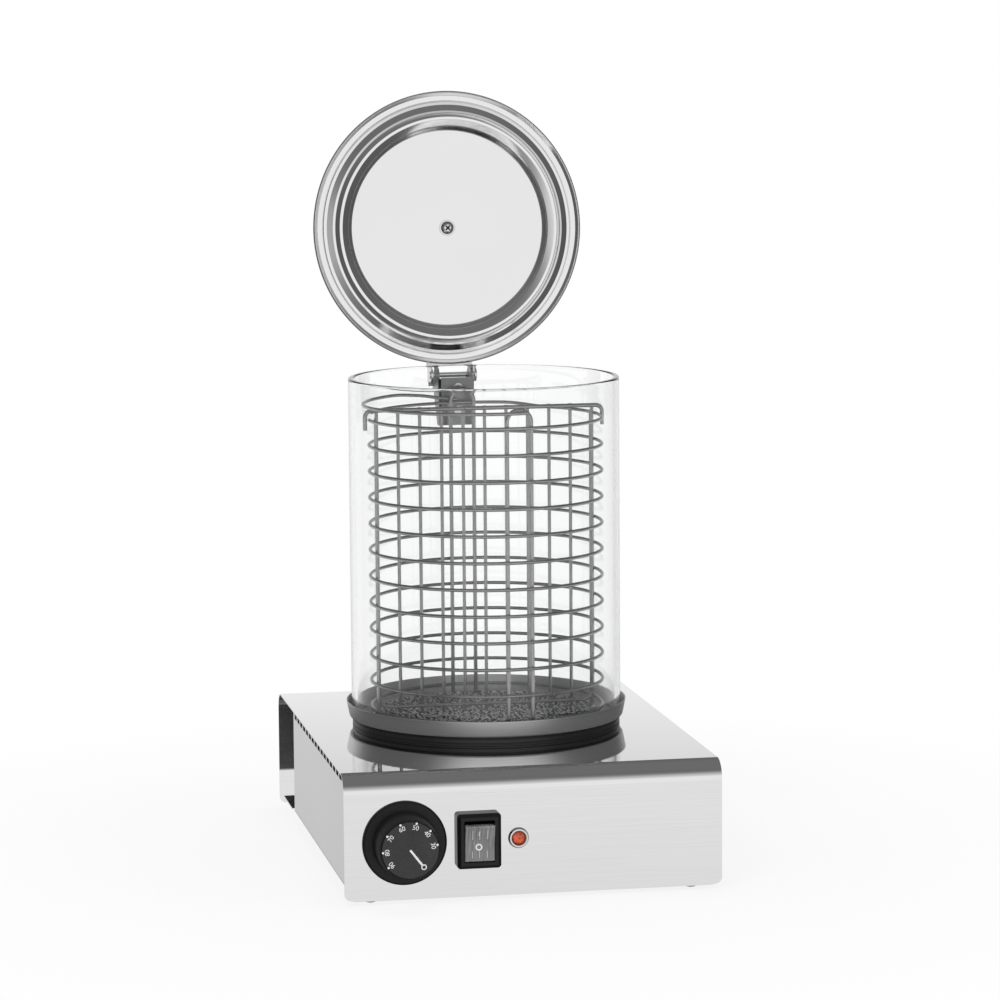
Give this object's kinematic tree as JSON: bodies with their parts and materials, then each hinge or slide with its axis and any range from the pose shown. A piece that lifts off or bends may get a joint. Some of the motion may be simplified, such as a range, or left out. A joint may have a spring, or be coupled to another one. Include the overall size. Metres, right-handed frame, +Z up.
{
  "type": "hot dog steamer",
  "caption": "Table-top hot dog steamer: folded steel housing with dial, switch and lamp, a glass cylinder with a hinged lid, and a divided wire basket over a water pan.",
  "frame": {"origin": "below the middle of the whole object, on the surface that it stands on", "axes": "+Z up, front panel with the controls towards -Y, +X to the right of the front"},
  "size_m": [0.27, 0.377, 0.5579],
  "materials": {
    "cover_steel": "fine brushed stainless sheet",
    "panel_steel": "fine brushed stainless sheet",
    "chassis_steel": "plain zinc coated or stainless sheet",
    "fastener_steel": "bright steel",
    "pan_steel": "spun stainless sheet",
    "polished_steel": "bright polished stainless",
    "wire_steel": "bright drawn wire",
    "rubber_black": "matte black",
    "foot_plastic": "pale translucent",
    "black_plastic": "fine grained black",
    "rocker_plastic": "smoky clear",
    "lamp_glass": "clear red-orange",
    "clear_glass": "clear, polished edge",
    "white_plastic": "natural white",
    "element_metal": "oxidised sheath",
    "spreader_aluminium": "plain",
    "brass": "plain"
  },
  "bodies": {
    "housing": {"housing_cover": "cover_steel", "base_plate": "chassis_steel", "side_panel_left": "panel_steel", "side_panel_right": "panel_steel", "rear_wall": "chassis_steel", "feet": "foot_plastic", "foot_studs": "fastener_steel", "foot_nuts": "fastener_steel", "foot_spacers": "white_plastic", "base_screws": "fastener_steel", "pan_gasket": "rubber_black", "water_pan": "pan_steel", "pan_studs": "fastener_steel", "pan_nuts": "fastener_steel", "sieve_plate": "pan_steel", "heat_spreader": "spreader_aluminium", "heating_element": "element_metal", "element_clamp": "chassis_steel", "element_stud": "fastener_steel", "element_nut": "fastener_steel", "safety_cutout": "black_plastic", "thermostat_body": "white_plastic", "thermostat_screws": "fastener_steel", "thermostat_bulb": "fastener_steel", "bulb_clips": "chassis_steel", "dial_plate": "black_plastic", "switch_body": "black_plastic", "lamp_bezel": "polished_steel", "lamp_lens": "lamp_glass", "lamp_nut": "white_plastic", "terminal_block": "white_plastic", "earth_stud": "brass", "cable_gland": "black_plastic", "gland_nut": "black_plastic"},
    "dial": {"dial_knob": "black_plastic", "dial_shaft": "fastener_steel"},
    "rocker": {"switch_rocker": "rocker_plastic"},
    "glass": {"glass_cylinder": "clear_glass", "hinge_bracket": "polished_steel", "hinge_inner_plate": "polished_steel", "hinge_pads": "rubber_black", "hinge_bushes": "rubber_black", "hinge_screws": "fastener_steel", "hinge_nuts": "fastener_steel", "hinge_pin": "fastener_steel", "stop_pin": "fastener_steel"},
    "lid": {"lid_shell": "polished_steel", "lid_arm": "polished_steel", "lid_knob": "black_plastic", "knob_screw": "fastener_steel", "knob_washer": "fastener_steel"},
    "basket": {"basket_rings": "wire_steel", "basket_low_ring": "wire_steel", "basket_top_turn": "wire_steel", "basket_hairpins": "wire_steel", "basket_posts": "wire_steel"},
    "divider": {"divider_top_bar": "wire_steel", "divider_frame": "wire_steel", "divider_bars": "wire_steel"}
  },
  "joints": [
    {"name": "dial_turn", "type": "hinge", "parent": "housing", "child": "dial", "pos_m": [-0.0925, -0.1625, 0.0438], "axis": [0, -1, 0], "range_deg": [-126.8, 142.3]},
    {"name": "rocker_tilt", "type": "hinge", "parent": "housing", "child": "rocker", "pos_m": [-0.0406, -0.1625, 0.0438], "axis": [-1, 0, 0], "range_deg": [0, 16]},
    {"name": "glass_lift", "type": "slide", "parent": "housing", "child": "glass", "axis": [0, 0, 1], "range_m": [0, 0.26]},
    {"name": "lid_hinge", "type": "hinge", "parent": "glass", "child": "lid", "pos_m": [-0.00391, 0.13593, 0.3422], "axis": [-0.9994, -0.0349, 0], "range_deg": [-92.9, 0]},
    {"name": "basket_lift", "type": "slide", "parent": "housing", "child": "basket", "axis": [0, 0, 1], "range_m": [0, 0.26]},
    {"name": "divider_lift", "type": "slide", "parent": "basket", "child": "divider", "axis": [0, 0, 1], "range_m": [0, 0.26]}
  ]
}
